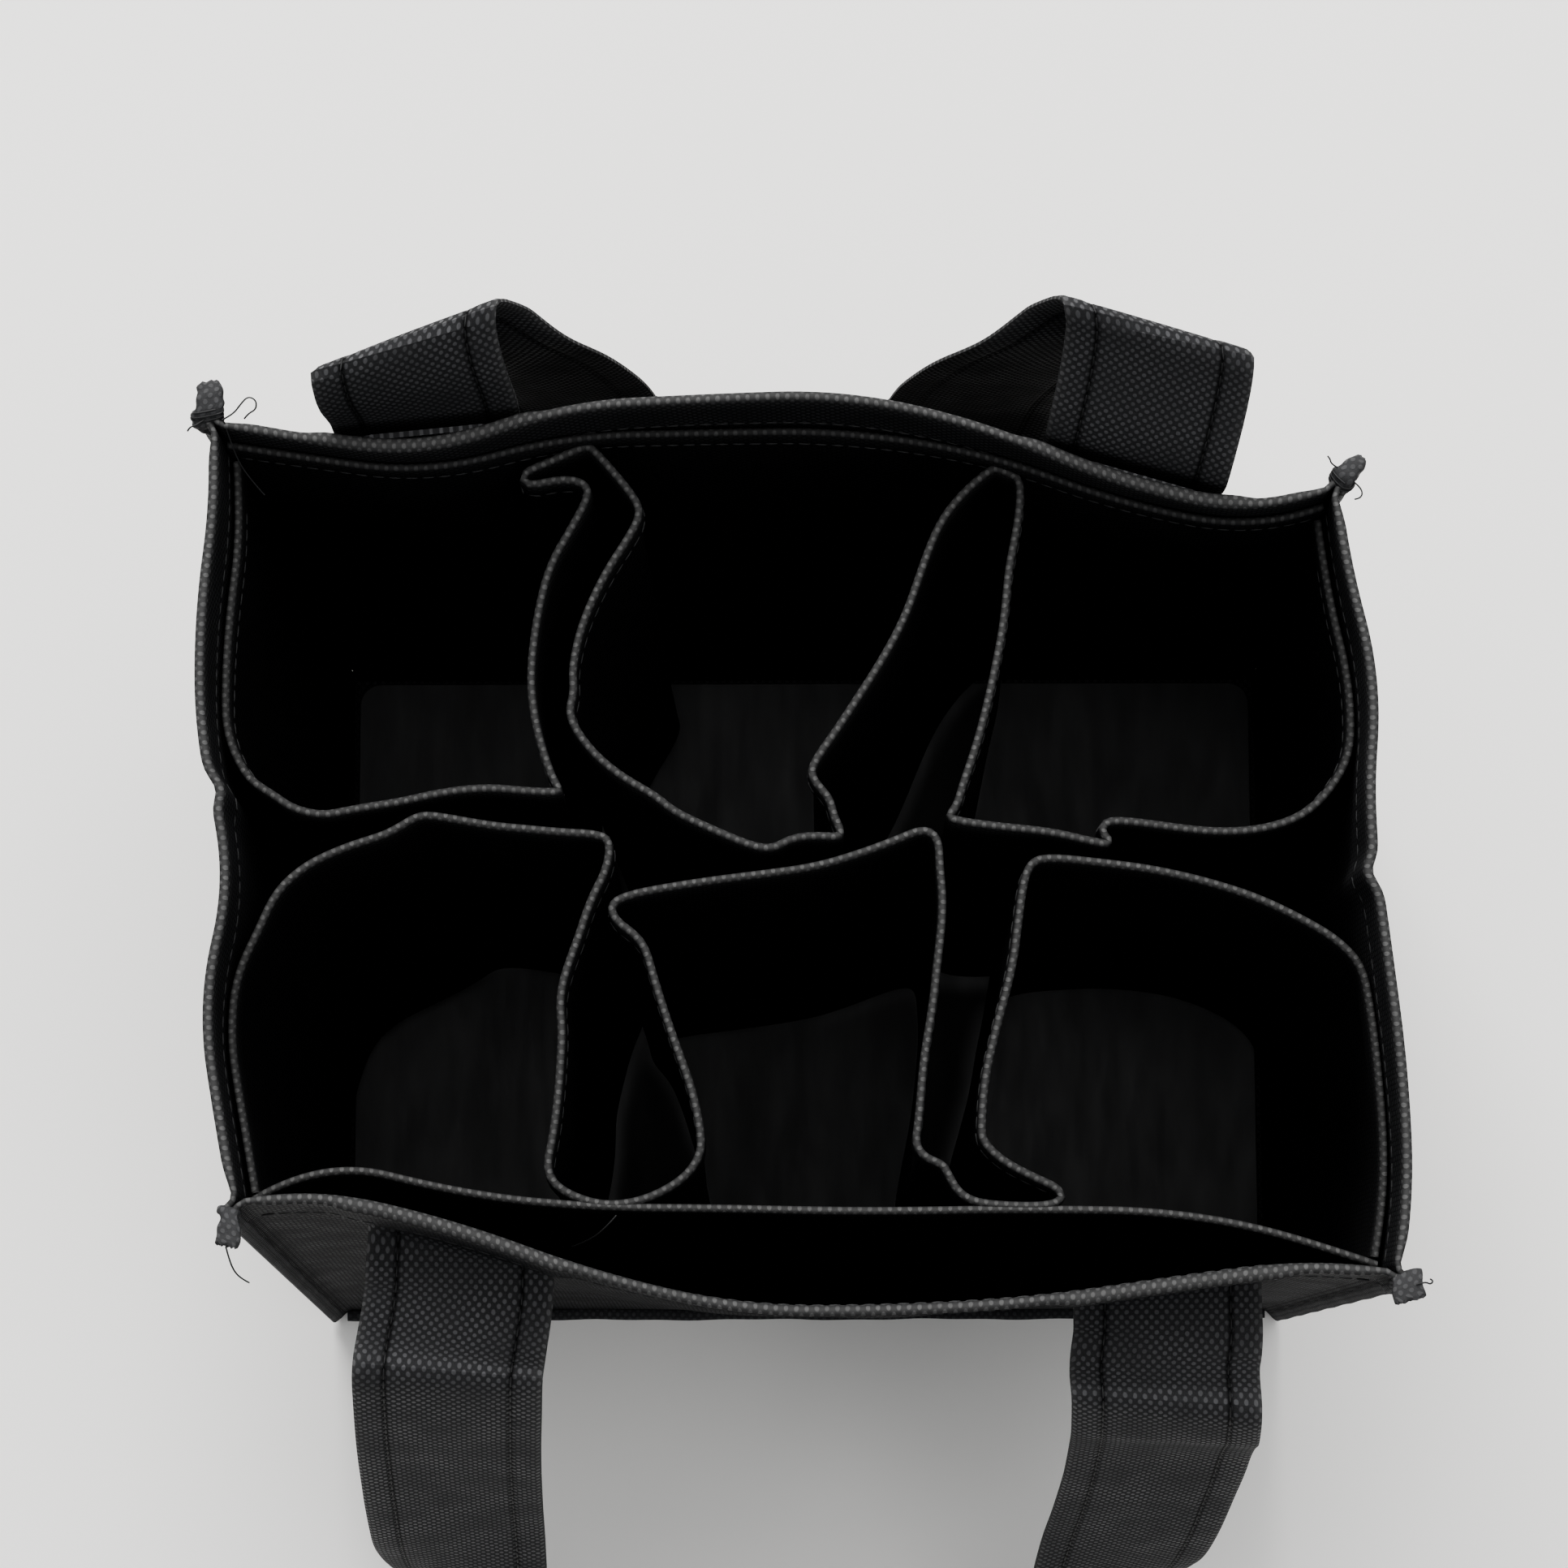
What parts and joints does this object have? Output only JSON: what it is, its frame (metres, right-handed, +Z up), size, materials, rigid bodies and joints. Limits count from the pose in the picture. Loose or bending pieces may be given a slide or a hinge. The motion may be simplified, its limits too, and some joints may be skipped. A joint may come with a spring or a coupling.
{
  "type": "bottle carrier bag",
  "caption": "Soft open carrier sewn from black embossed cloth, with looped cloth dividers that make bottle pockets, bound corner seams and two strap handles flopped over its sides.",
  "frame": {"origin": "middle of the underside, on the surface the bag stands on", "axes": "+X along the long side to the right, +Y towards the back, +Z up; the pictured front strap hangs over the -Y side"},
  "size_m": [0.2394, 0.3073, 0.2565],
  "materials": {
    "cloth": "matte, embossed with small dots",
    "lining": "matte, embossed with small dots",
    "binding": "matte",
    "strap": "matte, embossed with small dots",
    "board": "matte"
  },
  "bodies": {
    "bag": {"front_panel": "cloth", "back_panel": "cloth", "left_gusset": "cloth", "right_gusset": "cloth", "bottom_panel": "cloth", "front_liner": "lining", "back_liner": "lining", "front_divider": "lining", "back_divider": "lining", "front_left_corner_binding": "binding", "front_right_corner_binding": "binding", "back_left_corner_binding": "binding", "back_right_corner_binding": "binding", "front_bottom_binding": "binding", "back_bottom_binding": "binding", "left_bottom_binding": "binding", "right_bottom_binding": "binding", "front_handle_left_end": "strap", "front_handle_right_end": "strap", "back_handle_left_end": "strap", "back_handle_right_end": "strap", "base_board": "board"},
    "front_handle": {"front_handle_loop": "strap"},
    "back_handle": {"back_handle_loop": "strap"}
  },
  "joints": [
    {"name": "front_handle_swing", "type": "hinge", "parent": "bag", "child": "front_handle", "pos_m": [0, -0.097, 0.214], "axis": [-1, 0, 0], "range_deg": [0, 179]},
    {"name": "back_handle_swing", "type": "hinge", "parent": "bag", "child": "back_handle", "pos_m": [0, 0.095, 0.255], "axis": [1, 0, 0], "range_deg": [0, 194]}
  ]
}
